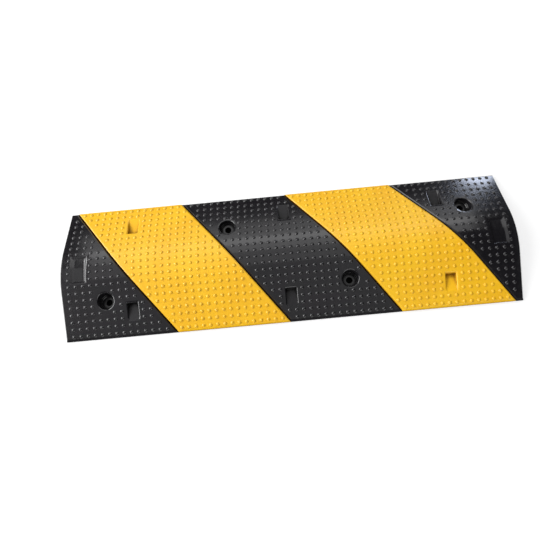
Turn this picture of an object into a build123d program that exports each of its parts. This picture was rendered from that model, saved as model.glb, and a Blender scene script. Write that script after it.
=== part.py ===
from build123d import *
import os
from math import acos, asin, atan2, copysign, cos, degrees, hypot, radians, sin, tan

# One module of a rubber speed bump, in millimetres.
# +X runs along the bump, +Y towards the far slope and +Z up from the road.
# The origin is the middle of the footprint, on the road.

# Overall form
length = 1000.0
width = 300.0
crown_height = 48.0  # road to the bare rubber on the crown line
crown_radius = 165.0  # arc over the top, tangent to both slopes
lip_height = 9.5  # upright edge along each long side
edge_round = 4.0  # outer corners of the black rubber, those along the channels included
inlay_round = 2.5  # outer corners of the yellow rubber

# Yellow inlays, set in diagonal channels
stripe_width = 245.5  # measured along the bump
stripe_lean = 37.5  # degrees, away from square across the bump
stripe_end_land = 17.5  # black rubber left between an inlay's corner and the end face
inlay_thickness = 6.0
bond_gap = 0.2  # bond line between two pieces

# Round studs of the tread
stud_diameter = 7.0
stud_height = 2.0
stud_root = 1.0  # how deep a stud's foot is sunk in the rubber
stud_column_pitch = 15.75  # along the bump
stud_row_pitch = 14.9  # across the bump, seen from above
stud_end_margin = 15.0  # least distance from a stud's middle to an end face
stud_side_margin = 5.0  # least distance from a stud's middle to a long side
stud_seam_clearance = 1.0  # bare rubber between a stud and a rounded seam edge
stud_recess_clearance = 4.0  # bare rubber between a stud and a bolt recess or pocket
stud_pad_clearance = 0.5  # bare rubber between a stud and a pad

# Stepped bolt holes, two in a line on each slope
bolt_hole_diameter = 13.0  # for an M12 anchor bolt
bolt_end_distance = 96.5  # end face to the outer hole of a line
bolt_inner_distance = 130.0  # middle of the bump to the inner hole of a line
bolt_line_distance = 72.0  # each line from the crown line
bolt_seat_height = 13.0  # road to the face under the bolt head's washer
washer_step_diameter = 27.0
washer_step_depth = 3.0
bolt_recess_diameter = 35.0

# Steel ring moulded in under each bolt seat
ring_diameter = 40.0
ring_thickness = 4.0
ring_cover = 4.0  # rubber between the seat and the ring

# Wedge pockets on both slopes: a deep upright wall uphill, a level floor that runs out downhill
pocket_width = 23.0
pocket_length = 39.0
pocket_wall_distance = 80.0  # crown line to the deep wall
pocket_end_distance = 154.0  # end face to the middle of the outer pockets
pocket_columns = 3

# Smooth shallow pads on the crown, one near each end
pad_length = 34.0
pad_width = 58.0
pad_depth = 2.5
pad_end_distance = 41.0  # end face to the middle of the pad

# Drainage grooves across the sole
groove_pitch = 40.0
groove_width = 8.0
groove_depth = 3.0
groove_side_margin = 30.0  # solid rubber left along each long side
groove_bolt_margin = 5.0  # solid rubber left around each ring

touch = 0.01  # how near counts as lying on a face
weld = 0.001  # how near counts as met where a stud's foot runs into the rubber
spare = 10.0  # how far a cutting block runs past the rubber

half_width = width / 2
arc_centre_height = crown_height - crown_radius
lean_run = tan(radians(stripe_lean))  # shift along the bump for each millimetre across it
outer_seam = length / 2 - stripe_end_land - lean_run * half_width  # where it crosses the crown line
stripe_centres = (stripe_width / 2 - outer_seam, outer_seam - stripe_width / 2)
ring_top = bolt_seat_height - ring_cover
ring_bottom = ring_top - ring_thickness
up_from = (Align.CENTER, Align.CENTER, Align.MIN)


def slope_angle():
    """Angle of the straight slopes, which leave the lip's top and touch the crown's arc."""
    rise = lip_height - arc_centre_height
    return atan2(half_width, rise) - acos(crown_radius / hypot(half_width, rise))


slope = slope_angle()
arc_half_width = crown_radius * sin(slope)


def surface(y):
    """Height and tilt of the bare rubber at a distance y from the crown line."""
    if abs(y) < arc_half_width:
        tilt = asin(y / crown_radius)
        return arc_centre_height + crown_radius * cos(tilt), tilt
    return lip_height + (half_width - abs(y)) * tan(slope), copysign(slope, y)


def bump_prism(inset, run):
    """The bump's form, drawn in by an inset at the top and sides, over a run along X."""
    radius = crown_radius - inset
    foot = half_width - inset
    arc_end = radius * sin(slope)
    arc_height = arc_centre_height + radius * cos(slope)
    lip = arc_height - (foot - arc_end) * tan(slope)
    left, top, right = (-arc_end, arc_height), (0, arc_centre_height + radius), (arc_end, arc_height)
    sides = Polyline(left, (-foot, lip), (-foot, 0), (foot, 0), (foot, lip), right)
    crown = ThreePointArc(right, top, left)
    section = Plane.YZ * make_face(sides.edges() + crown.edges())
    return extrude(section, run / 2, both=True)


def stripe_block(centre, across):
    """A leaning block through the whole bump, across being its size along X."""
    reach = half_width + spare
    shift = lean_run * reach
    low, high = centre - across / 2, centre + across / 2
    near = ((low + shift, -reach), (high + shift, -reach))
    far = ((high - shift, reach), (low - shift, reach))
    return extrude(make_face(Polyline(*near, *far, close=True)), crown_height + spare)


def block(x_middle, x_size, y_range, z_range):
    """A plain block from its middle and size along X and its ranges along Y and Z."""
    (y_low, y_high), (z_low, z_high) = sorted(y_range), z_range
    middle = Pos(x_middle, (y_low + y_high) / 2, z_low)
    return middle * Box(x_size, y_high - y_low, z_high - z_low, align=up_from)


def bolt_places():
    """Name and plan position of each bolt hole."""
    outer = length / 2 - bolt_end_distance
    return {
        "near_left": (-outer, -bolt_line_distance),
        "near_right": (bolt_inner_distance, -bolt_line_distance),
        "far_left": (-bolt_inner_distance, bolt_line_distance),
        "far_right": (outer, bolt_line_distance),
    }


def pocket_places():
    """Middle along X, and side of the crown line, of each wedge pocket."""
    outer = length / 2 - pocket_end_distance
    spacing = 2 * outer / (pocket_columns - 1)
    return [(column * spacing - outer, side) for column in range(pocket_columns) for side in (-1, 1)]


def pad_middles():
    """Middle along X of each crown pad."""
    reach = length / 2 - pad_end_distance
    return (-reach, reach)


def seam_distance(x, y):
    """Distance in plan from a point to the nearest seam."""
    along = x + lean_run * y
    seams = [centre + side * stripe_width / 2 for centre in stripe_centres for side in (-1, 1)]
    return min(abs(along - seam) for seam in seams) * cos(radians(stripe_lean))


def stripe_at(x, y):
    """Index of the inlay at a point in plan, or None on black rubber."""
    for index, centre in enumerate(stripe_centres):
        if abs(x + lean_run * y - centre) < stripe_width / 2:
            return index
    return None


def pocket_floor():
    """Height of the level floor of a wedge pocket."""
    return surface(pocket_wall_distance + pocket_length)[0]


def pocket_block(x, side, wall):
    """The space of a wedge pocket, grown by a wall at its floor, sides and deep end."""
    y_range = (side * (pocket_wall_distance - wall), side * (pocket_wall_distance + pocket_length))
    return block(x, pocket_width + 2 * wall, y_range, (pocket_floor() - wall, crown_height + spare))


def is_outer_corner(edge):
    """True for the edges between the outer skin and an end, a seam or a lip, above the road."""
    middle = edge @ 0.5
    if middle.Z < touch:
        return False
    on_lip = abs(abs(middle.Y) - half_width) < touch
    on_top = abs(surface(middle.Y)[0] - middle.Z) < touch
    runs_along = abs((edge % 0.5).X) > 1 - touch
    return on_lip or (on_top and not runs_along)


def round_corners(piece, radius):
    """The piece with all its outer corners rounded."""
    return fillet([edge for edge in piece.edges() if is_outer_corner(edge)], radius)


def upright(place, diameter, low, high):
    """An upright cylinder between two heights."""
    return Pos(*place, low) * Cylinder(diameter / 2, high - low, align=up_from)


def bolt_cut(place):
    """Space of one bolt: the hole, the washer step, the recess above and the ring's seat."""
    top = crown_height + spare
    recess_floor = bolt_seat_height + washer_step_depth
    return [
        upright(place, bolt_hole_diameter, -spare, top),
        upright(place, washer_step_diameter, bolt_seat_height, top),
        upright(place, bolt_recess_diameter, recess_floor, top),
        upright(place, ring_diameter + 2 * bond_gap, ring_bottom, ring_top),
    ]


def bolt_ring(place):
    """Flat steel ring around one bolt hole."""
    ring = upright(place, ring_diameter, ring_bottom, ring_top)
    return ring - upright(place, bolt_hole_diameter, ring_bottom - spare, ring_top + spare)


def pad_cut(x):
    """Space of one crown pad, whose floor follows the crown."""
    over = block(x, pad_length, (-pad_width / 2, pad_width / 2), (0, crown_height + spare))
    return over - bump_prism(pad_depth, length)


def groove_cuts():
    """Drainage grooves across the sole, left out under the bolt rings."""
    count = int((length / 2 - groove_pitch / 2) // groove_pitch)
    keep_off = ring_diameter / 2 + groove_bolt_margin + groove_width / 2
    reach = half_width - groove_side_margin
    middles = [step * groove_pitch for step in range(-count, count + 1)]
    bolts = [x for x, y in bolt_places().values()]
    clear = [x for x in middles if all(abs(x - bolt) > keep_off for bolt in bolts)]
    return [block(x, groove_width, (-reach, reach), (-spare, groove_depth)) for x in clear]


def in_rectangle(x, y, middle, size, margin):
    """True where a point in plan lies in a rectangle grown by a margin."""
    return abs(x - middle[0]) < size[0] / 2 + margin and abs(y - middle[1]) < size[1] / 2 + margin


def stud_has_room(x, y):
    """True where a stud keeps clear of every seam, bolt recess, pocket and pad."""
    radius = stud_diameter / 2
    margin = radius + stud_recess_clearance
    rounding = edge_round if stripe_at(x, y) is None else inlay_round
    if seam_distance(x, y) < radius + rounding + stud_seam_clearance:
        return False
    if any(hypot(x - a, y - b) < bolt_recess_diameter / 2 + margin for a, b in bolt_places().values()):
        return False
    pocket_y = pocket_wall_distance + pocket_length / 2
    pocket_size = (pocket_width, pocket_length)
    if any(in_rectangle(x, y, (a, side * pocket_y), pocket_size, margin) for a, side in pocket_places()):
        return False
    pad_margin = radius + stud_pad_clearance
    return not any(in_rectangle(x, y, (a, 0), (pad_length, pad_width), pad_margin) for a in pad_middles())


def centred_steps(span, pitch):
    """Evenly spaced positions about zero, as many as a span holds."""
    count = int(span // pitch) + 1
    return [(step - (count - 1) / 2) * pitch for step in range(count)]


def stud_places():
    """Plan position of every stud."""
    columns = centred_steps(length - 2 * stud_end_margin, stud_column_pitch)
    rows = centred_steps(width - 2 * stud_side_margin, stud_row_pitch)
    return [(x, y) for x in columns for y in rows if stud_has_room(x, y)]


def stud_cap():
    """One round stud about the middle of its sphere, with its foot, and that sphere's radius."""
    radius = ((stud_diameter / 2) ** 2 + stud_height**2) / (2 * stud_height)
    foot_latitude = degrees(asin((radius - stud_height - stud_root) / radius))
    return Solid.make_sphere(radius, angle1=foot_latitude, angle2=90), radius


def studs(places):
    """A stud standing square to the rubber at each place."""
    cap, radius = stud_cap()
    standing = []
    for x, y in places:
        height, tilt = surface(y)
        normal = Vector(0, sin(tilt), cos(tilt))
        middle = Vector(x, y, height) - normal * (radius - stud_height)
        standing.append(cap.moved(Location(Plane(middle, x_dir=(1, 0, 0), z_dir=normal))))
    return standing


def yellow_inlay(index):
    """One inlay: a skin over the black core, with a cup around each of its pockets."""
    centre = stripe_centres[index]
    side_gap = 2 * bond_gap / cos(radians(stripe_lean))
    whole = bump_prism(0, length) & stripe_block(centre, stripe_width - side_gap)
    inlay = round_corners(whole - bump_prism(inlay_thickness, length + spare), inlay_round)
    for x, side in pocket_places():
        if stripe_at(x, side * pocket_wall_distance) == index:
            cup = pocket_block(x, side, inlay_thickness) & bump_prism(inlay_round, length)
            inlay = (inlay + cup) - pocket_block(x, side, 0)
    own_studs = studs([place for place in stud_places() if stripe_at(*place) == index])
    return inlay.fuse(*own_studs, tol=weld)


def rubber_body():
    """The black moulding, with a channel and cup seats for each inlay."""
    body = bump_prism(0, length)
    core = bump_prism(inlay_thickness + bond_gap, length + spare)
    for centre in stripe_centres:
        body -= stripe_block(centre, stripe_width) - core
    body = round_corners(body, edge_round)
    for x, side in pocket_places():
        on_inlay = stripe_at(x, side * pocket_wall_distance) is not None
        body -= pocket_block(x, side, inlay_thickness + bond_gap if on_inlay else 0)
    cuts = [pad_cut(x) for x in pad_middles()] + groove_cuts()
    for place in bolt_places().values():
        cuts += bolt_cut(place)
    body -= cuts
    own_studs = studs([place for place in stud_places() if stripe_at(*place) is None])
    return body.fuse(*own_studs, tol=weld)


def main():
    """Writes each piece to its own file."""
    pieces = {
        "rubber_body": rubber_body(),
        "yellow_inlay_left": yellow_inlay(0),
        "yellow_inlay_right": yellow_inlay(1),
    }
    for name, place in bolt_places().items():
        pieces[f"bolt_ring_{name}"] = bolt_ring(place)
    os.makedirs("parts", exist_ok=True)
    for name, piece in pieces.items():
        export_step(piece, f"parts/{name}.step")


main()
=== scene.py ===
"""Looks of one moulded rubber speed bump module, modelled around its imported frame.

The rubber is modelled flat, as a sheet of tread in plan, and then laid over the bump's cross-section.
Its sizes are in metres, written as millimetres times MM, and the studio's in plain metres. The axes are
the frame's own: +X along the bump, +Y towards the far slope and +Z up from the road, with the origin in
the middle of the footprint.
"""

from __future__ import annotations

import logging
import math
from contextlib import contextmanager
from dataclasses import dataclass
from enum import Enum
from typing import Any, Callable, Iterator, Sequence

import bmesh
import bpy
import numpy as np
from mathutils import Matrix, Vector

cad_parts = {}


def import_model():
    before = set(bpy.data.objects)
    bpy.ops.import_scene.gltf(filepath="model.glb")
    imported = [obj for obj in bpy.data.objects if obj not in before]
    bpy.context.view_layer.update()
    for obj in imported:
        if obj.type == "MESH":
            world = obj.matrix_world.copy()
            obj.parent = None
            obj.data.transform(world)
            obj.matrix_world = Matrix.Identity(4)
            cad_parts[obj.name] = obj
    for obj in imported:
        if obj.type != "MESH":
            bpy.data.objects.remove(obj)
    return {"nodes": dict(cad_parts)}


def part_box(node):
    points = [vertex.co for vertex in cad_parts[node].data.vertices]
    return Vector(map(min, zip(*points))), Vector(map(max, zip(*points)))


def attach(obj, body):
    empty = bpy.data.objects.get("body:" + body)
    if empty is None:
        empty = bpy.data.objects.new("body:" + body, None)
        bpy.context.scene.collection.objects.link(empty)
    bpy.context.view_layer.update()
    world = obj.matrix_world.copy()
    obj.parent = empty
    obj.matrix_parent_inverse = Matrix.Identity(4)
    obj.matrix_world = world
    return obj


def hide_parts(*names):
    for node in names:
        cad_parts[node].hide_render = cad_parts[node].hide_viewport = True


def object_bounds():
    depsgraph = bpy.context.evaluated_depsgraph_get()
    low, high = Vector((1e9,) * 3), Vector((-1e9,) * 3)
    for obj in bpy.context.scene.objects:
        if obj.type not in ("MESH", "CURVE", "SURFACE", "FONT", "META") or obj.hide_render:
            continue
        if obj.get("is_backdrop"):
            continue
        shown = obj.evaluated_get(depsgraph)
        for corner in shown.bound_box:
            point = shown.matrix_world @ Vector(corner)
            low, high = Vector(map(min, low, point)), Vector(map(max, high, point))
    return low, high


LOG = logging.getLogger("speed_bump")
MM = 0.001
ROOT = "root"
HAIR = 0.05 * MM  # how near counts as touching while modelling
MERGE = HAIR / 5  # how near two points are merged
SPARE = 6.0 * MM  # how far a cutting tool runs past the rubber
RIM_STEPS = 4  # rings that round the rim of a recess
FACING = 0.5  # least share of an axis in the normal of a face that looks along it
FLAT_FACING = 0.9  # the same for a flat end
DECIMALS = 5  # places from the frame are rounded to a hundredth of a millimetre
SMOOTH_ANGLE = math.radians(28.0)
UNPOLISHED = "unpolished"  # attribute of each face: how matt the mould or the trimming left it


class Slope(Enum):
    """The two sides of the crown line, by the sign of Y."""

    NEAR = -1
    FAR = 1


class Rubber(Enum):
    """The two rubbers of the module, by their material slot."""

    BLACK = "black_rubber"
    YELLOW = "yellow_rubber"


class Cut(Enum):
    """How one solid is worked with another."""

    JOIN = "UNION"
    TAKE_AWAY = "DIFFERENCE"


Place = tuple[float, float]  # a point or a size in plan, or a way out and up in a section
Pocket = tuple[float, Slope]  # a pocket's middle along X, and its slope
Level = float | Callable[[float, float], float]  # a height, or one that changes over the plan


# Working in edit mode


def make_active(piece: bpy.types.Object) -> None:
    """Selects one object alone and makes it the active one."""
    bpy.ops.object.select_all(action="DESELECT")
    piece.select_set(True)
    bpy.context.view_layer.objects.active = piece


@contextmanager
def editing(piece: bpy.types.Object, mode: str, start: str = "DESELECT") -> Iterator[None]:
    """Opens a piece in edit mode, and closes it again.

    Args:
        piece: The mesh object to work on.
        mode: VERT, EDGE or FACE selection.
        start: SELECT to start with everything selected, or DESELECT with nothing.
    """
    make_active(piece)
    bpy.ops.object.mode_set(mode="EDIT")
    bpy.ops.mesh.select_mode(type=mode)
    bpy.ops.mesh.select_all(action=start)
    yield
    bpy.ops.object.mode_set(mode="OBJECT")


def edited(piece: bpy.types.Object) -> bmesh.types.BMesh:
    """The mesh of the piece that is open in edit mode."""
    return bmesh.from_edit_mesh(piece.data)


def added(name: str) -> bpy.types.Object:
    """Names the primitive that was just added, with its place and turn put in its mesh.

    Args:
        name: Name for the object and its mesh.

    Returns:
        The object, at the origin.
    """
    piece = bpy.context.active_object
    piece.name = piece.data.name = name
    bpy.ops.object.transform_apply(location=True, rotation=True, scale=True)
    return piece


def points_of(piece: bpy.types.Object) -> np.ndarray:
    """The vertices of a piece, one row each."""
    points = np.empty(len(piece.data.vertices) * 3, np.float32)
    piece.data.vertices.foreach_get("co", points)
    return points.reshape(-1, 3).astype(float)


def put_points(piece: bpy.types.Object, points: np.ndarray) -> None:
    """Moves the vertices of a piece to new places."""
    piece.data.vertices.foreach_set("co", points.astype(np.float32).ravel())
    piece.data.update()


def copy_of(piece: bpy.types.Object, name: str) -> bpy.types.Object:
    """A copy of a piece with its own mesh."""
    copy = piece.copy()
    copy.data = piece.data.copy()
    copy.name = copy.data.name = name
    bpy.context.scene.collection.objects.link(copy)
    return copy


def join(pieces: Sequence[bpy.types.Object], name: str) -> bpy.types.Object:
    """Puts several meshes into one object.

    Args:
        pieces: The objects, of which the first is kept.
        name: Name of the joined object.

    Returns:
        The joined object.
    """
    make_active(pieces[0])
    for piece in pieces:
        piece.select_set(True)
    bpy.ops.object.join()
    pieces[0].name = pieces[0].data.name = name
    return pieces[0]


def repeat(piece: bpy.types.Object, count: int, step: Vector) -> None:
    """Repeats a piece in a row and merges what meets.

    Args:
        piece: The piece to repeat.
        count: How many there are in the row.
        step: From one to the next.
    """
    row = piece.modifiers.new("row", "ARRAY")
    row.count = count
    row.use_relative_offset = False
    row.use_constant_offset = True
    row.constant_offset_displace = step
    row.use_merge_vertices = True
    row.merge_threshold = MERGE
    make_active(piece)
    bpy.ops.object.modifier_apply(modifier=row.name)


def work(piece: bpy.types.Object, tool: bpy.types.Object, cut: Cut) -> None:
    """Joins a tool to a piece or takes it away, and removes the tool.

    Args:
        piece: The closed solid that is worked on.
        tool: The closed solid that it is worked with.
        cut: What is done.
    """
    boolean = piece.modifiers.new("work", "BOOLEAN")
    boolean.object = tool
    boolean.operation = cut.value
    boolean.solver = "EXACT"
    make_active(piece)
    bpy.ops.object.modifier_apply(modifier=boolean.name)
    bpy.data.objects.remove(tool)


def mark_unpolished(
    piece: bpy.types.Object, is_matt: Callable[[bpy.types.MeshPolygon], bool], share: float
) -> None:
    """Marks the faces of a piece, or of the tool that cuts them, that aren't polished.

    Args:
        piece: The piece or tool.
        is_matt: Whether a face is one of them.
        share: How matt they are, from 0 to 1.
    """
    layers = piece.data.attributes
    marks = layers.get(UNPOLISHED) or layers.new(UNPOLISHED, "FLOAT", "FACE")
    for face in piece.data.polygons:
        if is_matt(face):
            marks.data[face.index].value = share


def picked(piece: bpy.types.Object) -> list[bmesh.types.BMVert]:
    """The selected points of the piece that is open in edit mode."""
    return [corner for corner in edited(piece).verts if corner.select]


def turn_faces_out() -> None:
    """Turns the faces of the closed piece that is open in edit mode outwards."""
    bpy.ops.mesh.select_all(action="SELECT")
    bpy.ops.mesh.normals_make_consistent(inside=False)


# The form that all the rubber follows


@dataclass(frozen=True)
class Section:
    """The bump's cross-section: a lip on each side, straight slopes and an arc over the crown."""

    half_width: float
    crown_height: float = 48.0 * MM
    crown_radius: float = 165.0 * MM
    lip_height: float = 9.5 * MM

    @property
    def slope(self) -> float:
        """Angle of the straight slopes, which leave the lip's top and touch the crown's arc."""
        rise = self.lip_height - self.crown_height + self.crown_radius
        reach = math.hypot(self.half_width, rise)
        return math.atan2(self.half_width, rise) - math.acos(self.crown_radius / reach)

    def tilt(self, y: np.ndarray | float) -> np.ndarray:
        """Tilt of the skin at a distance y from the crown line."""
        limit = math.sin(self.slope)
        return np.arcsin(np.clip(np.asarray(y) / self.crown_radius, -limit, limit))

    def height(self, y: np.ndarray | float) -> np.ndarray:
        """Height of the skin above the road at a distance y from the crown line."""
        tilt = self.tilt(y)
        on_arc = self.crown_height - self.crown_radius * (1.0 - np.cos(tilt))
        past_arc = np.abs(y) - self.crown_radius * np.sin(np.abs(tilt))
        return on_arc - past_arc * np.tan(np.abs(tilt))

    def lay(self, piece: bpy.types.Object) -> None:
        """Lays a flat piece over the section, with studs square to it and the rest straight up or down.

        Args:
            piece: A mesh whose Z is measured from the skin.
        """
        points = points_of(piece)
        y, rise = points[:, 1].copy(), points[:, 2].copy()
        tilt = self.tilt(y)
        stands = np.maximum(rise, 0.0)
        points[:, 1] += stands * np.sin(tilt)
        points[:, 2] = self.height(y) + stands * np.cos(tilt) + np.minimum(rise, 0.0)
        put_points(piece, points)


@dataclass(frozen=True)
class Side:
    """One straight, upright side of a band of rubber, seen in plan."""

    normal: Place
    reach: float

    def out_of(self, x: float, y: float) -> float:
        """How far a point in plan lies outside this side."""
        return self.normal[0] * x + self.normal[1] * y - self.reach

    def moved(self, distance: float) -> "Side":
        """The same side, further out."""
        return Side(self.normal, self.reach + distance)


@dataclass(frozen=True)
class Layout:
    """Where the bands, bolt holes, pockets and pads of the module lie."""

    section: Section
    half_length: float
    bolt_places: dict[str, Place]
    stripe_width: float = 245.5 * MM
    stripe_lean: float = math.radians(37.5)
    stripe_end_land: float = 17.5 * MM
    edge_round: float = 4.0 * MM
    inlay_round: float = 2.5 * MM
    bond_gap: float = 0.2 * MM
    inlay_thickness: float = 6.0 * MM
    pocket_size: Place = (23.0 * MM, 39.0 * MM)
    pocket_wall_distance: float = 80.0 * MM
    pocket_end_distance: float = 154.0 * MM
    pad_size: Place = (34.0 * MM, 58.0 * MM)
    pad_end_distance: float = 41.0 * MM
    bolt_recess_diameter: float = 35.0 * MM

    @property
    def seam_normal(self) -> Place:
        """Direction in plan square to the seams, towards +X."""
        return math.cos(self.stripe_lean), math.sin(self.stripe_lean)

    @property
    def seams(self) -> tuple[float, float, float, float]:
        """Distance of each seam from the middle of the module, square to the seams."""
        across = math.cos(self.stripe_lean)
        lean_run = math.tan(self.stripe_lean) * self.section.half_width
        outer = (self.half_length - self.stripe_end_land - lean_run) * across
        inner = outer - self.stripe_width * across
        return -outer, -inner, inner, outer

    def seam_side(self, index: int, towards: int) -> Side:
        """One seam as a side of the band that lies before it (1) or after it (-1)."""
        normal = self.seam_normal
        return Side((towards * normal[0], towards * normal[1]), towards * self.seams[index])

    def end_side(self, towards: int) -> Side:
        """The left (-1) or right (1) end face."""
        return Side((float(towards), 0.0), self.half_length)

    def is_trimmed(self, face: bpy.types.MeshPolygon) -> bool:
        """Whether a face is a lip's side or a flat end, which are trimmed after moulding and so matt."""
        at_lip = abs(face.center.y) > self.section.half_width - self.edge_round
        at_end = abs(face.center.x) > self.half_length - self.edge_round
        return (at_lip and abs(face.normal.y) > FACING) or (at_end and abs(face.normal.x) > FLAT_FACING)

    def lip_sides(self) -> list[Side]:
        """The faces of the two lips."""
        return [Side((0.0, float(slope.value)), self.section.half_width) for slope in Slope]

    def pockets(self) -> list[Pocket]:
        """Middle along X, and slope, of each wedge pocket."""
        outer = self.half_length - self.pocket_end_distance
        return [(x, slope) for x in (-outer, 0.0, outer) for slope in Slope]

    def pads(self) -> tuple[float, float]:
        """Middle along X of each crown pad."""
        reach = self.half_length - self.pad_end_distance
        return -reach, reach

    def band_at(self, x: float, y: float) -> int:
        """Number of the band at a point in plan, from 0 at the left end to 4; odd ones are yellow."""
        along = self.seam_normal[0] * x + self.seam_normal[1] * y
        return sum(along > seam for seam in self.seams)

    def pocket_band(self, pocket: Pocket) -> int:
        """Number of the band that a pocket lies in."""
        x, slope = pocket
        return self.band_at(x, slope.value * self.pocket_wall_distance)

    @property
    def pocket_floor(self) -> float:
        """Height of the level floor of the pockets, where it runs out of the slope."""
        return float(self.section.height(self.pocket_wall_distance + self.pocket_size[1]))


# The tread


@dataclass(frozen=True)
class Tread:
    """The skin of round studs, modelled as one cell that is repeated over the whole module."""

    layout: Layout
    stud_diameter: float = 7.0 * MM
    stud_height: float = 2.0 * MM
    stud_sides: int = 12
    foot_width: float = 0.5 * MM  # moulded corner around a stud
    columns: int = 62
    rows: int = 20
    column_pitch: float = 15.75 * MM
    row_pitch: float = 14.9 * MM
    seam_clearance: float = 1.0 * MM
    recess_clearance: float = 4.0 * MM
    pad_clearance: float = 0.5 * MM
    dome: tuple[Place, ...] = ((0.90, 0.24), (0.70, 0.57), (0.38, 0.88))  # rings, as shares of a stud's size

    @property
    def foot(self) -> float:
        """Radius of a stud where it meets the flat rubber."""
        return self.stud_diameter / 2 + self.foot_width

    def cell(self) -> bpy.types.Object:
        """Models one stud on its rectangle of flat rubber.

        Returns:
            The cell, in the first column and row.
        """
        half_turn = math.pi / self.stud_sides
        bpy.ops.mesh.primitive_circle_add(
            vertices=self.stud_sides, radius=self.foot, fill_type="NGON", rotation=(0, 0, half_turn)
        )
        cell = added("tread")
        with editing(cell, "FACE", "SELECT"):
            radius, height = self.foot, 0.0
            for out, up in self.dome:
                ring_radius, ring_height = out * self.foot, up * self.stud_height
                bpy.ops.mesh.inset(thickness=(radius - ring_radius) * math.cos(half_turn))
                bpy.ops.transform.translate(value=(0, 0, ring_height - height))
                radius, height = ring_radius, ring_height
            bpy.ops.mesh.poke(offset=self.stud_height - height)
        with editing(cell, "EDGE"):
            bpy.ops.mesh.select_non_manifold()
            bpy.ops.mesh.extrude_edges_move()
            for corner in picked(cell):
                widest = max(abs(corner.co.x), abs(corner.co.y))
                corner.co.x *= self.column_pitch / 2 / widest
                corner.co.y *= self.row_pitch / 2 / widest
        return cell

    def sheet(self) -> bpy.types.Object:
        """Models the whole tread, flat, with plain rubber where a stud has no room.

        Returns:
            A flat open sheet that ends where the module's edges start to turn down.
        """
        sheet = self.cell()
        pitches = np.array((self.column_pitch, self.row_pitch, 0.0))
        first = (1 - np.array((self.columns, self.rows, 1))) * pitches / 2
        put_points(sheet, points_of(sheet) + first)
        repeat(sheet, self.columns, Vector((self.column_pitch, 0, 0)))
        repeat(sheet, self.rows, Vector((0, self.row_pitch, 0)))
        points = points_of(sheet)
        steps = np.rint((points[:, :2] - first[:2]) / pitches[:2])
        points[~self.has_stud(first[:2] + steps * pitches[:2]), 2] = 0.0
        layout = self.layout
        for axis, limit in enumerate((layout.half_length, layout.section.half_width)):
            at_edge = np.abs(points[:, axis]) > -first[axis] + pitches[axis] / 2 - HAIR
            points[at_edge, axis] = np.sign(points[at_edge, axis]) * (limit - layout.inlay_round)
        put_points(sheet, points)
        return sheet

    def has_stud(self, middles: np.ndarray) -> np.ndarray:
        """Tells where a stud keeps clear of every seam, bolt recess, pocket and pad.

        Args:
            middles: Plan positions, one row each.

        Returns:
            One truth value for each row.
        """
        layout = self.layout
        x, y = middles[:, 0], middles[:, 1]
        radius = self.stud_diameter / 2
        along = layout.seam_normal[0] * x + layout.seam_normal[1] * y
        to_seam = np.min([np.abs(along - seam) for seam in layout.seams], axis=0)
        on_inlay = np.sum([along > seam for seam in layout.seams], axis=0) % 2 == 1
        rounding = np.where(on_inlay, layout.inlay_round, layout.edge_round)
        room = to_seam >= radius + rounding + self.seam_clearance
        reach = layout.bolt_recess_diameter / 2 + radius + self.recess_clearance
        for place in layout.bolt_places.values():
            room &= np.hypot(x - place[0], y - place[1]) >= reach
        pocket_distance = layout.pocket_wall_distance + layout.pocket_size[1] / 2
        plain = [
            (pocket_x, slope.value * pocket_distance, layout.pocket_size, radius + self.recess_clearance)
            for pocket_x, slope in layout.pockets()
        ]
        plain += [(pad_x, 0.0, layout.pad_size, radius + self.pad_clearance) for pad_x in layout.pads()]
        for middle_x, middle_y, (width, length), margin in plain:
            off_x = np.abs(x - middle_x) >= width / 2 + margin
            room &= off_x | (np.abs(y - middle_y) >= length / 2 + margin)
        return room


# Bands of rubber


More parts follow.
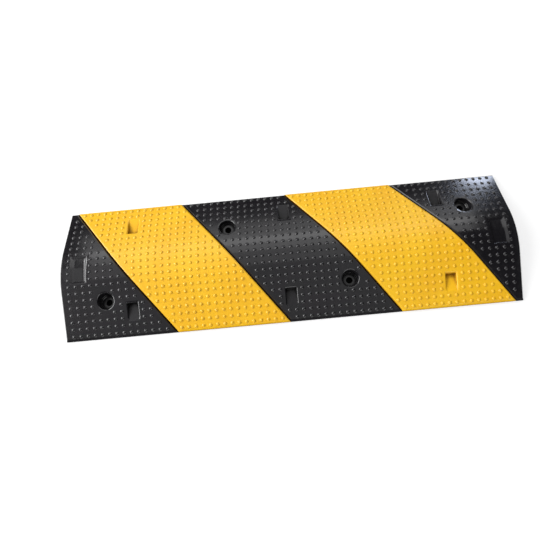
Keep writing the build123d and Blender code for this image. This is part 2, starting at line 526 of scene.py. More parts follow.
@dataclass(frozen=True)
class Band:
    """One band of studded rubber between two seams or ends, as a closed block down to the road."""

    layout: Layout
    sides: tuple[Side, ...]
    bevel: tuple[Place, ...]  # how far out and down from the flat rubber each step of the edge lies

    def block(self, sheet: bpy.types.Object, name: str) -> bpy.types.Object:
        """Cuts the band from the flat tread, bevels its edges and closes it.

        Args:
            sheet: The flat tread of the whole module.
            name: Name of the block.

        Returns:
            A closed block that follows the section.
        """
        block = copy_of(sheet, name)
        flat_sides = [side.moved(-self.bevel[-1][0]) for side in self.sides]
        with editing(block, "EDGE"):
            for side in flat_sides:
                bpy.ops.mesh.select_all(action="SELECT")
                bpy.ops.mesh.bisect(
                    plane_co=(side.normal[0] * side.reach, side.normal[1] * side.reach, 0),
                    plane_no=(*side.normal, 0),
                    clear_outer=True,
                    threshold=MERGE,
                )
        self.bevel_edges(block, flat_sides)
        self.layout.section.lay(block)
        with editing(block, "EDGE"):
            bpy.ops.mesh.select_non_manifold()
            bpy.ops.mesh.extrude_region_move()
            bpy.ops.transform.resize(value=(1, 1, 0), center_override=(0, 0, 0))
            bpy.ops.mesh.edge_face_add()
            turn_faces_out()
        return block

    def bevel_edges(self, block: bpy.types.Object, flat_sides: Sequence[Side]) -> None:
        """Turns the open edge of the flat band down in a bevel that steepens.

        Args:
            block: The flat band.
            flat_sides: The sides that its flat part ends at.
        """
        with editing(block, "EDGE"):
            edited(block).verts.layers.float_vector.new("outwards")
            bpy.ops.mesh.select_non_manifold()
            layer = edited(block).verts.layers.float_vector["outwards"]
            for corner in picked(block):
                corner[layer] = self.outwards(corner.co, flat_sides)
            last = (0.0, 0.0)
            for step in self.bevel:
                bpy.ops.mesh.extrude_edges_move()
                layer = edited(block).verts.layers.float_vector["outwards"]
                for corner in picked(block):
                    corner.co += corner[layer] * (step[0] - last[0])
                    corner.co.z -= step[1] - last[1]
                last = step
        block.data.attributes.remove(block.data.attributes["outwards"])

    @staticmethod
    def outwards(point: Vector, sides: Sequence[Side]) -> Vector:
        """Plan direction that leads out of every side a point lies on, at the same rate."""
        normals = [side.normal for side in sides if abs(side.out_of(point.x, point.y)) < HAIR]
        move = np.linalg.lstsq(np.array(normals), np.ones(len(normals)), rcond=None)[0]
        return Vector((move[0], move[1], 0.0))


# Tools that cut the recesses


def rim_rings(rounding: float) -> list[Place]:
    """Rings of a tool that round the rim of a recess and then stand clear of the rubber.

    Args:
        rounding: Radius of the rim.

    Returns:
        How far out from the wall each ring lies, and its height from the skin.
    """
    turns = [math.pi / 2 * step / RIM_STEPS for step in range(RIM_STEPS)]
    rings = [(rounding * (1 - math.cos(turn)), -rounding * (1 - math.sin(turn))) for turn in turns]
    return rings + [(rounding, HAIR / 2), (rounding, SPARE)]


def ring_up(tool: bpy.types.Object, heights: Level, middle: Place, scale: Place) -> None:
    """Extrudes the selected face of a tool into one more ring.

    Args:
        tool: The tool, open in edit mode.
        heights: Height of the new ring, or a function of a point in plan that gives it.
        middle: Point in plan that the ring is widened about.
        scale: How much wider the ring is than the last one, along X and Y.
    """
    bpy.ops.mesh.extrude_region_move()
    bpy.ops.transform.resize(value=(*scale, 1), center_override=(*middle, 0))
    for corner in picked(tool):
        corner.co.z = heights(corner.co.x, corner.co.y) if callable(heights) else heights


@dataclass(frozen=True)
class BoltRecess:
    """A stepped bolt hole, with softened corners."""

    layout: Layout
    hole_diameter: float = 13.0 * MM
    seat_height: float = 13.0 * MM
    step_diameter: float = 27.0 * MM
    step_depth: float = 3.0 * MM
    corner: float = 1.0 * MM
    rim_round: float = 2.8 * MM
    sides: int = 48

    def profile(self) -> list[tuple[float, float, bool]]:
        """Radius, height, and whether that height is measured from the skin, of each ring upwards."""
        hole, step = self.hole_diameter / 2, self.step_diameter / 2
        recess = self.layout.bolt_recess_diameter / 2
        seat, floor, corner = self.seat_height, self.seat_height + self.step_depth, self.corner
        rings = [(hole, seat - corner, False), (hole + corner, seat, False), (step, seat, False)]
        rings += [(step, floor - corner, False), (step + corner, floor, False)]
        rings += [(recess - corner, floor, False), (recess, floor + corner, False)]
        return rings + [(recess + out, rise, True) for out, rise in rim_rings(self.rim_round)]

    def tool(self, place: Place) -> bpy.types.Object:
        """Models the space of one recess.

        Args:
            place: The hole's middle in plan.

        Returns:
            A closed solid.
        """
        radius = self.hole_diameter / 2
        bpy.ops.mesh.primitive_circle_add(
            vertices=self.sides, radius=radius, fill_type="NGON", location=(*place, -SPARE)
        )
        tool = added("bolt_recess")
        section = self.layout.section
        with editing(tool, "FACE", "SELECT"):
            for ring_radius, height, from_skin in self.profile():
                level = (lambda x, y, rise=height: float(section.height(y)) + rise) if from_skin else height
                ring_up(tool, level, place, (ring_radius / radius,) * 2)
                radius = ring_radius
            turn_faces_out()
        return tool


@dataclass(frozen=True)
class WedgePocket:
    """A pocket with a deep wall uphill and a level floor that runs out downhill."""

    layout: Layout
    corner_round: float = 1.5 * MM
    floor_corner: float = 0.6 * MM
    rim_round: float = 3.0 * MM
    corner_steps: int = 3
    matt: float = 0.6
    side_cuts: int = 12  # so that the long sides' rims follow the skin
    run_out: float = 4.0 * MM  # how far the tool runs past the pocket downhill, in the open

    def tool(self, pocket: Pocket) -> bpy.types.Object:
        """Models the space of one pocket.

        Args:
            pocket: Its middle along X and its slope.

        Returns:
            A closed solid.
        """
        x, slope = pocket
        width, length = self.layout.pocket_size
        length += self.run_out
        middle = (x, slope.value * (self.layout.pocket_wall_distance + length / 2))
        floor = self.layout.pocket_floor
        bpy.ops.mesh.primitive_plane_add(size=1, location=(*middle, floor))
        tool = added("wedge_pocket")
        inner = (width - 2 * self.floor_corner, length - 2 * self.floor_corner)
        with editing(tool, "VERT", "SELECT"):
            bpy.ops.transform.resize(value=(*inner, 1), center_override=(*middle, 0))
            bpy.ops.mesh.bevel(offset=self.corner_round, segments=self.corner_steps, affect="VERTICES")
        with editing(tool, "EDGE"):
            for edge in edited(tool).edges:
                edge.select = edge.calc_length() > width
            bpy.ops.mesh.subdivide(number_cuts=self.side_cuts)
        size = inner
        with editing(tool, "FACE", "SELECT"):
            for number, (grow, rise) in enumerate([(0.0, None), *rim_rings(self.rim_round)], start=1):
                new_size = (width + 2 * grow, length + 2 * grow)
                least = floor + number * HAIR
                level = self.floor_or_skin(least, rise) if rise is not None else floor + self.floor_corner
                ring_up(tool, level, middle, (new_size[0] / size[0], new_size[1] / size[1]))
                size = new_size
            turn_faces_out()
        mark_unpolished(tool, self.is_core, self.matt)
        return tool

    def is_core(self, face: bpy.types.MeshPolygon) -> bool:
        """Whether a face is the floor or lies under the rim, which the mould leaves less polished."""
        rim_foot = float(self.layout.section.height(face.center.y)) - self.rim_round
        return face.center.z < max(self.layout.pocket_floor + HAIR, rim_foot)

    def floor_or_skin(self, least: float, rise: float) -> Level:
        """A height that follows the skin and never goes under the floor."""
        section = self.layout.section
        return lambda x, y: max(least + self.floor_corner, float(section.height(y)) + rise)

    def cup(self, pocket: Pocket, wall: float) -> bpy.types.Object:
        """Models the block around a pocket in an inlay, of which the pocket is the hollow.

        Args:
            pocket: Its middle along X and its slope.
            wall: Thickness around and under the pocket.

        Returns:
            A closed block that reaches through the inlay's skin.
        """
        x, slope = pocket
        width, length = self.layout.pocket_size
        uphill = self.layout.pocket_wall_distance - wall
        downhill = self.layout.pocket_wall_distance + length
        low, high = self.layout.pocket_floor - wall, self.layout.section.crown_height + SPARE
        middle = (x, slope.value * (uphill + downhill) / 2, (low + high) / 2)
        bpy.ops.mesh.primitive_cube_add(size=1, location=middle)
        cup = added("pocket_cup")
        with editing(cup, "EDGE", "SELECT"):
            size = (width + 2 * wall, downhill - uphill, high - low)
            bpy.ops.transform.resize(value=size, center_override=middle)
        return cup


@dataclass(frozen=True)
class CrownPad:
    """A smooth shallow pad on the crown, whose floor follows the crown and whose walls slope softly."""

    layout: Layout
    depth: float = 2.4 * MM
    wall_run: float = 6.0 * MM  # from the floor's edge out to the rim
    rim: float = 1.5 * MM
    wall_steps: int = 6
    columns: int = 6
    rows: int = 24

    def tool(self, x: float) -> bpy.types.Object:
        """Models the space of one pad.

        Args:
            x: Its middle along X.

        Returns:
            A closed solid that follows the crown.
        """
        bpy.ops.mesh.primitive_grid_add(
            x_subdivisions=self.columns, y_subdivisions=self.rows, size=1, location=(x, 0, -self.depth)
        )
        tool = added("crown_pad")
        width, length = self.layout.pad_size
        inset = self.wall_run - self.rim
        size = (width - 2 * inset, length - 2 * inset)
        with editing(tool, "FACE", "SELECT"):
            bpy.ops.transform.resize(value=(*size, 1), center_override=(x, 0, 0))
            for grow, rise in self.rings():
                new_size = (width + 2 * grow, length + 2 * grow)
                ring_up(tool, rise, (x, 0.0), (new_size[0] / size[0], new_size[1] / size[1]))
                size = new_size
            turn_faces_out()
        self.layout.section.lay(tool)
        return tool

    def rings(self) -> list[Place]:
        """How much each ring is wider than the pad, and its height from the skin, in a soft double bend."""
        rings = []
        for step in range(1, self.wall_steps):
            share = step / self.wall_steps
            grow = self.rim - self.wall_run * (1 - share)
            rings.append((grow, -self.depth * (1 + math.cos(math.pi * share)) / 2))
        return rings + [(self.rim, HAIR / 2), (self.rim, SPARE)]


@dataclass(frozen=True)
class SoleGrooves:
    """Drainage grooves across the underside, left out under the bolt seats."""

    layout: Layout
    pitch: float = 40.0 * MM
    width: float = 8.0 * MM
    depth: float = 3.0 * MM
    draft: float = 0.8  # width of a groove's roof, as a share of its mouth
    side_margin: float = 30.0 * MM
    bolt_margin: float = 29.0 * MM  # from a bolt hole's middle to the middle of the nearest groove

    def tools(self) -> list[bpy.types.Object]:
        """Models the space of every groove, each as a block with a narrowed roof."""
        count = int((self.layout.half_length - self.pitch / 2) // self.pitch)
        bolts = [place[0] for place in self.layout.bolt_places.values()]
        middles = [step * self.pitch for step in range(-count, count + 1)]
        pattern = self.groove()
        clear = [x for x in middles if all(abs(x - bolt) > self.bolt_margin for bolt in bolts)]
        tools = []
        for x in clear:
            tool = copy_of(pattern, "sole_groove")
            put_points(tool, points_of(tool) + np.array((x, 0.0, 0.0)))
            tools.append(tool)
        bpy.data.objects.remove(pattern)
        return tools

    def groove(self) -> bpy.types.Object:
        """Models one groove in the middle of the module."""
        reach = self.layout.section.half_width - self.side_margin
        bpy.ops.mesh.primitive_cube_add(size=1, location=(0, 0, 0))
        groove = added("sole_groove")
        with editing(groove, "FACE", "SELECT"):
            bpy.ops.transform.resize(value=(self.width, 2 * reach, 2 * self.depth), center_override=(0, 0, 0))
            bpy.ops.mesh.select_all(action="DESELECT")
            for face in edited(groove).faces:
                face.select = face.normal.z > FACING
            bpy.ops.transform.resize(value=(self.draft, 1, 1), center_override=(0, 0, 0))
        return groove


# Finishes


def to_linear(hex_code: str) -> tuple[float, float, float, float]:
    """Turns an sRGB hex colour into linear red, green and blue, with full alpha."""
    shares = [int(hex_code[i : i + 2], 16) / 255 for i in (1, 3, 5)]
    linear = [s / 12.92 if s <= 0.04045 else ((s + 0.055) / 1.055) ** 2.4 for s in shares]
    return linear[0], linear[1], linear[2], 1.0


RANGE = ("From Min", "From Max", "To Min", "To Max")  # sockets of the map range node
# Sockets of the mix node by number, because its numbers and its colours share their names
FACTOR, FIRST_NUMBER, SECOND_NUMBER, FIRST_COLOUR, SECOND_COLOUR, MIXED_COLOUR = 0, 2, 3, 6, 7, 2


def add_node(
    tree: bpy.types.NodeTree,
    kind: str,
    settings: dict[str | int, Any] | None = None,
    links: dict[str | int, Any] | None = None,
) -> bpy.types.Node:
    """Adds a node with its settings and links.

    Args:
        tree: The node tree.
        kind: The node's type name.
        settings: Values of the node's properties, or of its input sockets where it has no such property.
        links: Output, or node whose first output is meant, for each input by its name or number.

    Returns:
        The new node.
    """
    node = tree.nodes.new(kind)
    for name, value in (settings or {}).items():
        if isinstance(name, str) and hasattr(node, name):
            setattr(node, name, value)
        else:
            node.inputs[name].default_value = value
    for name, source in (links or {}).items():
        output = source.outputs[0] if isinstance(source, bpy.types.Node) else source
        tree.links.new(output, node.inputs[name])
    return node


def new_material(name: str) -> tuple[bpy.types.Material, bpy.types.NodeTree]:
    """An empty node material and its tree."""
    material = bpy.data.materials.new(name)
    material.use_nodes = True
    material.node_tree.nodes.clear()
    return material, material.node_tree


@dataclass(frozen=True)
class Pattern:
    """An uneven pattern through a material, as a noise texture on Object coordinates."""

    size: float  # about how far its features are apart
    detail: float
    roughness: float = 0.5


@dataclass(frozen=True)
class MouldedRubber:
    """Vulcanised road rubber from a polished steel mould: satin, a little mottled and dusty, with painted
    shade in its hollows.
    """

    name: str
    colour: str
    deep_colour: str
    worn_colour: str
    dust_colour: str
    dust: float
    # Painted shade: the colour that sheltered hollows are darkened towards, and how far.
    painted_shade_colour: str
    painted_shade: float
    roughness: tuple[float, float]
    grain: float
    wax: float
    wear: float = 0.55  # share of the worn colour on the sharpest edges
    wax_roughness: float = 0.07
    matt_roughness: float = 0.75
    shine: tuple[float, float] = (0.5, 0.1)  # specular level of polished and of matt rubber
    ior: float = 1.52
    shelter: float = 12.0 * MM  # how near other rubber lies that makes a place a hollow
    grain_depth: float = 0.12 * MM
    kneading: Pattern = Pattern(85.0 * MM, 3.0, 0.55)
    dusting: Pattern = Pattern(9.0 * MM, 6.0, 0.7)
    polishing: Pattern = Pattern(30.0 * MM, 4.0, 0.6)
    graining: Pattern = Pattern(1.6 * MM, 3.0, 0.6)  # really 0.3 mm, drawn as coarse as it needs to show

    def material(self) -> bpy.types.Material:
        """Builds the material.

        Returns:
            A node material on Object coordinates.
        """
        material, tree = new_material(self.name)
        place = add_node(tree, "ShaderNodeTexCoord").outputs["Object"]
        shape = add_node(tree, "ShaderNodeNewGeometry").outputs["Pointiness"]
        clouds, patches, polish, grain = (
            add_node(
                tree,
                "ShaderNodeTexNoise",
                {"Scale": 1.0 / pattern.size, "Detail": pattern.detail, "Roughness": pattern.roughness},
                {"Vector": place},
            )
            for pattern in (self.kneading, self.dusting, self.polishing, self.graining)
        )
        shelter = add_node(tree, "ShaderNodeAmbientOcclusion", {"samples": 8, "Distance": self.shelter})
        ranges = (
            (clouds, 0.35, 0.65, 0.0, 1.0),  # rubber crumb kneads together unevenly, in broad soft clouds
            (shape, 0.50, 0.60, 0.0, self.wear),  # raised edges and stud tops rub paler
            (shelter.outputs["AO"], 0.50, 0.93, 1.0, 0.0),  # painted shade in pockets, seams and studs' feet, where other rubber lies near
            (patches, 0.52, 0.80, 0.0, self.dust),  # road dust lies in patches a few millimetres across
            (polish, 0.3, 0.7, *self.roughness),  # the mould's polish is uneven, so the gloss changes
        )
        pale, rubbed, hollow, dusty, gloss = (
            add_node(tree, "ShaderNodeMapRange", dict(zip(RANGE, limits)), {0: source})
            for source, *limits in ranges
        )
        # Painted shade: where nearby rubber shelters a place, the colour is mixed towards the painted shade
        # colour.
        painted_shade_share = add_node(tree, "ShaderNodeMath", {"operation": "MULTIPLY", 1: self.painted_shade}, {0: hollow})
        deep, under = to_linear(self.deep_colour), {}
        for share, colour in (
            (pale, self.colour),
            (rubbed, self.worn_colour),
            (painted_shade_share, self.painted_shade_colour),
            (dusty, self.dust_colour),
        ):
            body = add_node(
                tree,
                "ShaderNodeMix",
                {"data_type": "RGBA", FIRST_COLOUR: deep, SECOND_COLOUR: to_linear(colour)},
                {FACTOR: share, **under},
            )
            under = {FIRST_COLOUR: body.outputs[MIXED_COLOUR]}
        # The pockets and the trimmed lips and ends are less polished, so they are matt, as the hollows are.
        mark = add_node(tree, "ShaderNodeAttribute", {"attribute_name": UNPOLISHED}).outputs["Fac"]
        matt = add_node(tree, "ShaderNodeMath", {"operation": "MAXIMUM"}, {0: hollow, 1: mark})
        dull = add_node(
            tree,
            "ShaderNodeMix",
            {"data_type": "FLOAT", SECOND_NUMBER: self.matt_roughness},
            {FACTOR: matt, FIRST_NUMBER: gloss},
        )
        bump = add_node(
            tree, "ShaderNodeBump", {"Strength": self.grain, "Distance": self.grain_depth}, {"Height": grain}
        )
        # A film of mould wax adds a sharper shine over the soft one where the rubber isn't matt.
        wax, shine = (
            add_node(tree, "ShaderNodeMapRange", {"To Min": polished, "To Max": dulled}, {0: matt})
            for polished, dulled in ((self.wax, 0.0), self.shine)
        )
        shader = add_node(
            tree,
            "ShaderNodeBsdfPrincipled",
            {"IOR": self.ior, "Coat Roughness": self.wax_roughness},
            {
                "Base Color": body.outputs[MIXED_COLOUR],
                "Roughness": dull,
                "Normal": bump,
                "Specular IOR Level": shine,
                "Coat Weight": wax,
            },
        )
        add_node(tree, "ShaderNodeOutputMaterial", links={"Surface": shader})
        return material


@dataclass(frozen=True)
class ZincPlatedSteel:
    """Stamped mild steel with a thin zinc coat: grey, with the soft bloom of the plating bath."""

    name: str = "zinc_plated_steel"
    colour: str = "#b9bcbe"
    bloom_colour: str = "#8f9498"
    roughness: tuple[float, float] = (0.3, 0.5)
    bloom: Pattern = Pattern(6.0 * MM, 4.0)

    def material(self) -> bpy.types.Material:
        """Builds the material.

        Returns:
            A node material on Object coordinates.
        """
        material, tree = new_material(self.name)
        place = add_node(tree, "ShaderNodeTexCoord").outputs["Object"]
        pattern = {"Scale": 1.0 / self.bloom.size, "Detail": self.bloom.detail}
        bloom = add_node(tree, "ShaderNodeTexNoise", pattern, {"Vector": place})
        clean, gloss = (
            add_node(tree, "ShaderNodeMapRange", dict(zip(RANGE, limits)), {0: bloom})
            for limits in ((0.35, 0.65, 0.0, 1.0), (0.3, 0.7, *self.roughness))
        )
        colours = {FIRST_COLOUR: to_linear(self.bloom_colour), SECOND_COLOUR: to_linear(self.colour)}
        tint = add_node(tree, "ShaderNodeMix", {"data_type": "RGBA", **colours}, {FACTOR: clean})
        shader = add_node(
            tree,
            "ShaderNodeBsdfPrincipled",
            {"Metallic": 1.0},
            {"Base Color": tint.outputs[MIXED_COLOUR], "Roughness": gloss},
        )
        add_node(tree, "ShaderNodeOutputMaterial", links={"Surface": shader})
        return material


FINISHES = {
    Rubber.BLACK: MouldedRubber(
        name="black_moulded_rubber",
        colour="#1a191c",
        deep_colour="#151417",
        worn_colour="#2a292c",
        dust_colour="#5c5a58",
        dust=0.10,
        # Painted shade in the hollows: near black.
        painted_shade_colour="#0c0b0b",
        painted_shade=0.8,
        roughness=(0.12, 0.16),
        grain=0.08,
        wax=0.35,
    ),
    Rubber.YELLOW: MouldedRubber(
        name="yellow_moulded_rubber",
        colour="#fac31a",
        deep_colour="#f5b915",
        worn_colour="#fbca3a",
        dust_colour="#a3742a",
        dust=0.16,
        # Painted shade in the hollows: deep brown.
        painted_shade_colour="#5c2806",
        painted_shade=0.85,
        roughness=(0.32, 0.42),
        grain=0.2,
        wax=0.1,
    ),
}


# Pieces of the module


def finish_piece(piece: bpy.types.Object, node: str, rubber: Rubber, layout: Layout) -> None:
    """Smooths, dresses and registers a finished piece of rubber.

    Args:
        piece: The closed mesh.
        node: The frame's node that it stands for.
        rubber: What it is made of.
        layout: The module's plan, which says where the lips and the ends are.
    """
    mark_unpolished(piece, layout.is_trimmed, 1.0)
    with editing(piece, "FACE"):
        turn_faces_out()
    make_active(piece)
    bpy.ops.object.shade_smooth_by_angle(angle=SMOOTH_ANGLE)
    piece.data.materials.clear()
    piece.data.materials.append(FINISHES[rubber].material())
    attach(piece, ROOT)
    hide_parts(node)
    LOG.info("%s has %d faces", piece.name, len(piece.data.polygons))


@dataclass(frozen=True)
class Core:
    """The solid rubber under the inlays."""

    layout: Layout
    cover: float  # from the skin down to the core
    rows: int = 72

    def solid(self, bottom: float) -> bpy.types.Object:
        """Models the core over the whole length.

        Args:
            bottom: Height of its underside.

        Returns:
            A closed solid.
        """
        layout = self.layout
        size = (2 * (layout.half_length - layout.edge_round), 2 * (layout.section.half_width - self.cover))
        bpy.ops.mesh.primitive_grid_add(x_subdivisions=1, y_subdivisions=self.rows, size=1)
        core = added("core")
        with editing(core, "FACE", "SELECT"):
            bpy.ops.transform.resize(value=(*size, 1), center_override=(0, 0, 0))
            bpy.ops.transform.translate(value=(0, 0, -self.cover))
        layout.section.lay(core)
        with editing(core, "FACE", "SELECT"):
            bpy.ops.mesh.extrude_region_move()
            for corner in picked(core):
                corner.co.z = bottom
            turn_faces_out()
        return core


@dataclass(frozen=True)
class BlackBody:
    """The black moulding: three bands of tread on one core, with every recess and the sole."""

    layout: Layout
    node: str = "rubber_body"
    bevel: tuple[Place, ...] = ((3.2 * MM, 3.6 * MM), (4.0 * MM, 5.0 * MM), (4.3 * MM, 6.4 * MM))

    def build(self, sheet: bpy.types.Object) -> None:
        """Models and dresses the body.

        Args:
            sheet: The flat tread of the whole module.
        """
        layout = self.layout
        lips = layout.lip_sides()
        runs = (
            (layout.end_side(-1), layout.seam_side(0, 1)),
            (layout.seam_side(1, -1), layout.seam_side(2, 1)),
            (layout.seam_side(3, -1), layout.end_side(1)),
        )
        bands = [Band(layout, (*run, *lips), self.bevel).block(sheet, "black_band") for run in runs]
        body = join(bands, "black_rubber_body")
        cover = layout.inlay_thickness + layout.bond_gap
        work(body, Core(layout, cover).solid(0.0), Cut.JOIN)
        work(body, join(self.tools(cover), "recesses"), Cut.TAKE_AWAY)
        finish_piece(body, self.node, Rubber.BLACK, layout)

    def tools(self, cover: float) -> list[bpy.types.Object]:
        """Models the space of every recess in the black rubber.

        Args:
            cover: Room around a pocket that an inlay lines.

        Returns:
            Closed solids that don't meet each other.
        """
        layout = self.layout
        bolt, pocket = BoltRecess(layout), WedgePocket(layout)
        tools = [bolt.tool(place) for place in layout.bolt_places.values()]
        for one in layout.pockets():
            lined = layout.pocket_band(one) % 2 == 1
            tools.append(pocket.cup(one, cover) if lined else pocket.tool(one))
        tools += [CrownPad(layout).tool(x) for x in layout.pads()]
        return tools + SoleGrooves(layout).tools()


@dataclass(frozen=True)
class YellowInlay:
    """One yellow band: a skin over the core, down to the road at both lips."""

    layout: Layout
    node: str
    band: int
    bevel: tuple[Place, ...] = ((2.2 * MM, 1.25 * MM), (2.75 * MM, 2.2 * MM), (2.9 * MM, 3.2 * MM))

    def build(self, sheet: bpy.types.Object) -> None:
        """Models and dresses the inlay.

        Args:
            sheet: The flat tread of the whole module.
        """
        layout = self.layout
        seams = (layout.seam_side(self.band - 1, -1), layout.seam_side(self.band, 1))
        sides = (*(seam.moved(-layout.bond_gap) for seam in seams), *layout.lip_sides())
        inlay = Band(layout, sides, self.bevel).block(sheet, self.node.replace("yellow", "yellow_rubber"))
        core = Core(layout, layout.inlay_thickness).solid(-SPARE)
        pocket = WedgePocket(layout)
        own = [one for one in layout.pockets() if layout.pocket_band(one) == self.band]
        for one in own:
            work(core, pocket.cup(one, layout.inlay_thickness), Cut.TAKE_AWAY)
        work(inlay, core, Cut.TAKE_AWAY)
        for one in own:
            work(inlay, pocket.tool(one), Cut.TAKE_AWAY)
        finish_piece(inlay, self.node, Rubber.YELLOW, layout)


@dataclass(frozen=True)
class BoltRings:
    """The steel rings under the bolt seats, which keep the frame's own solids."""

    nodes: dict[str, bpy.types.Object]
    finish: ZincPlatedSteel = ZincPlatedSteel()

    def dress(self) -> None:
        """Gives every ring its finish."""
        steel = self.finish.material()
        for name, ring in self.nodes.items():
            ring.data.materials.clear()
            ring.data.materials.append(steel)
            LOG.info("%s is dressed", name)


# Studio


@dataclass(frozen=True)
class PhotoCamera:
    """The camera at the photograph's viewing angle, which looks down over the near slope."""

    azimuth: float = math.radians(-2.0)
    elevation: float = math.radians(75.68)
    roll: float = math.radians(-7.31)
    distance: float = 886.2 * MM
    target: tuple[float, float, float] = (-32.2 * MM, -40.9 * MM, 0.0)
    focal_pixels: float = 391.8
    image_pixels: int = 550
    sensor: float = 36.0
    nearest: float = 10.0 * MM

    def build(self) -> None:
        """Makes the camera and puts it to use."""
        level = math.cos(self.elevation)
        ahead = Vector(
            (math.sin(self.azimuth) * level, math.cos(self.azimuth) * level, -math.sin(self.elevation))
        )
        right = Vector((math.cos(self.azimuth), -math.sin(self.azimuth), 0.0))
        up = right.cross(ahead)
        turned_right = right * math.cos(self.roll) + up * math.sin(self.roll)
        turned_up = up * math.cos(self.roll) - right * math.sin(self.roll)
        turn = Matrix((turned_right, turned_up, -ahead)).transposed().to_4x4()
        data = bpy.data.cameras.new("photo_camera")
        data.sensor_width = self.sensor
        data.lens = self.focal_pixels / self.image_pixels * self.sensor
        data.clip_start = self.nearest
        camera = bpy.data.objects.new("photo_camera", data)
        camera.matrix_world = Matrix.Translation(Vector(self.target) - ahead * self.distance) @ turn
        bpy.context.scene.collection.objects.link(camera)
        bpy.context.scene.camera = camera


@dataclass(frozen=True)
class Lamp:
    """One soft box, aimed at the module."""

    name: str
    place: tuple[float, float, float]
    size: Place
    power: float
    colour: str = "#ffffff"
    aim: tuple[float, float, float] = (0.0, 0.0, 0.0)

    def build(self) -> None:
        """Makes the lamp."""
        data = bpy.data.lights.new(self.name, "AREA")
        data.shape = "RECTANGLE"
        data.size, data.size_y = self.size
        data.energy = self.power
        data.color = to_linear(self.colour)[:3]
        lamp = bpy.data.objects.new(self.name, data)
        lamp.location = self.place
        lamp.rotation_euler = (Vector(self.aim) - Vector(self.place)).to_track_quat("-Z", "Y").to_euler()
        bpy.context.scene.collection.objects.link(lamp)


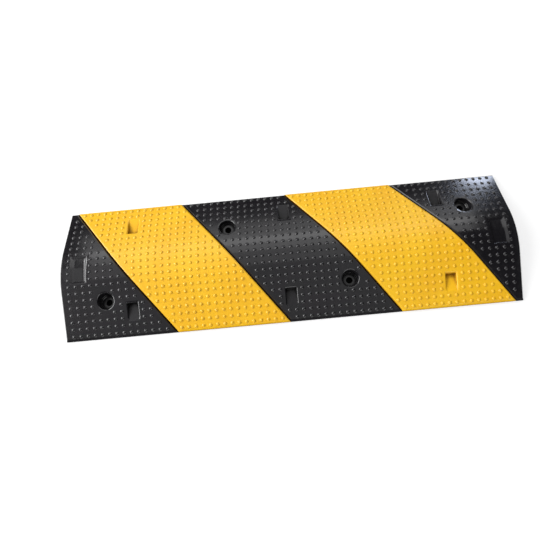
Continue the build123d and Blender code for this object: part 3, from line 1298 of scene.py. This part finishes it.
@dataclass(frozen=True)
class Studio:
    """A white floor, a wide soft key from the left, weaker ones over both slopes, a window and a dim room."""

    footprint: Place  # half the length and half the width of the floor that the module hides
    floor_size: float = 12.0
    floor_drop: float = 0.2 * MM  # so that the floor and the sole don't lie in one plane
    floor_glow: float = 0.62  # what the camera and reflections see of the floor without any light on it
    paper_colour: str = "#bdbdbd"
    # Painted shade: the floor under the module is painted this dark colour.
    under_module_shade_colour: str = "#1b1a1a"  # of the floor under the module
    room_strength: float = 0.03
    lamps: tuple[Lamp, ...] = (
        Lamp("key_wall", (-3.85, 0.27, 2.32), (4.6, 2.6), 255.0),
        Lamp("near_fill", (0.8, -2.25, 1.22), (2.6, 1.4), 22.0, aim=(0.35, 0.0, 0.0)),
        Lamp("near_high", (-0.4, -0.80, 2.47), (3.8, 1.39), 6.0, aim=(-0.4, 0.0, 0.0)),
        Lamp("top", (-0.3, 0.41, 2.57), (3.2, 1.10), 7.6, aim=(-0.3, 0.0, 0.0)),
        Lamp("far_high", (0.0, 0.94, 1.77), (2.8, 0.49), 5.4),
        Lamp("far_strip", (0.0, 1.33, 1.49), (2.8, 0.47), 8.7),
        Lamp("far_low", (0.0, 1.59, 1.21), (2.8, 0.30), 2.9),
        Lamp("window", (1.84, 2.47, 1.27), (0.24, 0.27), 4.0, colour="#dfe9ff", aim=(0.45, 0.125, 0.017)),
    )

    def build(self) -> None:
        """Makes the floor, the room and the lamps."""
        bpy.ops.mesh.primitive_plane_add(size=self.floor_size, location=(0, 0, -self.floor_drop))
        floor = added("studio_floor")
        floor.data.materials.append(self.floor_material())
        floor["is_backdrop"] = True
        self.room()
        for lamp in self.lamps:
            lamp.build()
        bpy.context.scene.view_settings.view_transform = "Standard"

    def floor_material(self) -> bpy.types.Material:
        """Pale paper that looks white to the camera and in reflections, with the module's shadow on it."""
        material, tree = new_material("pale_paper_floor")
        path = add_node(tree, "ShaderNodeLightPath").outputs
        seen = path["Is Camera Ray"]
        for ray in ("Is Glossy Ray", "Is Transmission Ray"):
            seen = add_node(tree, "ShaderNodeMath", {"operation": "MAXIMUM"}, {0: seen, 1: path[ray]})
        # No light comes from under the module, so the floor there is painted dark as shade, without glow, and
        # its bolt holes look dark down to the road.
        place = add_node(tree, "ShaderNodeTexCoord").outputs["Object"]
        away = add_node(tree, "ShaderNodeVectorMath", {"operation": "ABSOLUTE"}, {0: place})
        to_edge = {"operation": "SUBTRACT", 1: (*self.footprint, 0.0)}
        beyond = add_node(tree, "ShaderNodeVectorMath", to_edge, {0: away})
        axes = add_node(tree, "ShaderNodeSeparateXYZ", links={0: beyond}).outputs
        most = add_node(tree, "ShaderNodeMath", {"operation": "MAXIMUM"}, {0: axes[0], 1: axes[1]})
        is_open = add_node(tree, "ShaderNodeMath", {"operation": "GREATER_THAN", 1: 0.0}, {0: most})
        white = add_node(tree, "ShaderNodeMath", {"operation": "MULTIPLY"}, {0: seen, 1: is_open})
        strength = add_node(tree, "ShaderNodeMath", {"operation": "MULTIPLY", 1: self.floor_glow}, {0: white})
        glow = add_node(tree, "ShaderNodeEmission", links={"Strength": strength})
        colours = {FIRST_COLOUR: to_linear(self.under_module_shade_colour), SECOND_COLOUR: to_linear(self.paper_colour)}
        tint = add_node(tree, "ShaderNodeMix", {"data_type": "RGBA", **colours}, {FACTOR: is_open})
        paper = add_node(tree, "ShaderNodeBsdfDiffuse", links={"Color": tint.outputs[MIXED_COLOUR]})
        both = add_node(tree, "ShaderNodeAddShader", links={0: glow, 1: paper})
        add_node(tree, "ShaderNodeOutputMaterial", links={"Surface": both})
        return material

    def room(self) -> None:
        """A dim neutral room, which looks pale to the camera."""
        world = bpy.data.worlds.new("room")
        world.use_nodes = True
        tree = world.node_tree
        tree.nodes.clear()
        is_seen = add_node(tree, "ShaderNodeLightPath").outputs["Is Camera Ray"]
        strength = add_node(tree, "ShaderNodeMapRange", {"To Min": self.room_strength}, {0: is_seen})
        back = add_node(tree, "ShaderNodeBackground", links={"Strength": strength})
        add_node(tree, "ShaderNodeOutputWorld", links={"Surface": back})
        bpy.context.scene.world = world


def main() -> None:
    """Builds the module around its frame, then the studio."""
    logging.basicConfig(level=logging.INFO, format="%(name)s: %(message)s")
    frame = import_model()
    cad_low, cad_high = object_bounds()
    rings = {name: ring for name, ring in frame["nodes"].items() if name.startswith("bolt_ring")}
    bolt_places = {}
    for name in rings:
        low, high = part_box(name)
        bolt_places[name] = (round((low.x + high.x) / 2, DECIMALS), round((low.y + high.y) / 2, DECIMALS))
    section = Section(half_width=round((cad_high[1] - cad_low[1]) / 2, DECIMALS))
    layout = Layout(section, round((cad_high[0] - cad_low[0]) / 2, DECIMALS), bolt_places)
    sheet = Tread(layout).sheet()
    BlackBody(layout).build(sheet)
    for node, band in (("yellow_inlay_left", 1), ("yellow_inlay_right", 3)):
        YellowInlay(layout, node, band).build(sheet)
    bpy.data.objects.remove(sheet)
    BoltRings(rings).dress()
    Studio((layout.half_length - layout.edge_round, section.half_width - layout.edge_round)).build()
    PhotoCamera().build()


if __name__ == "__main__":
    main()
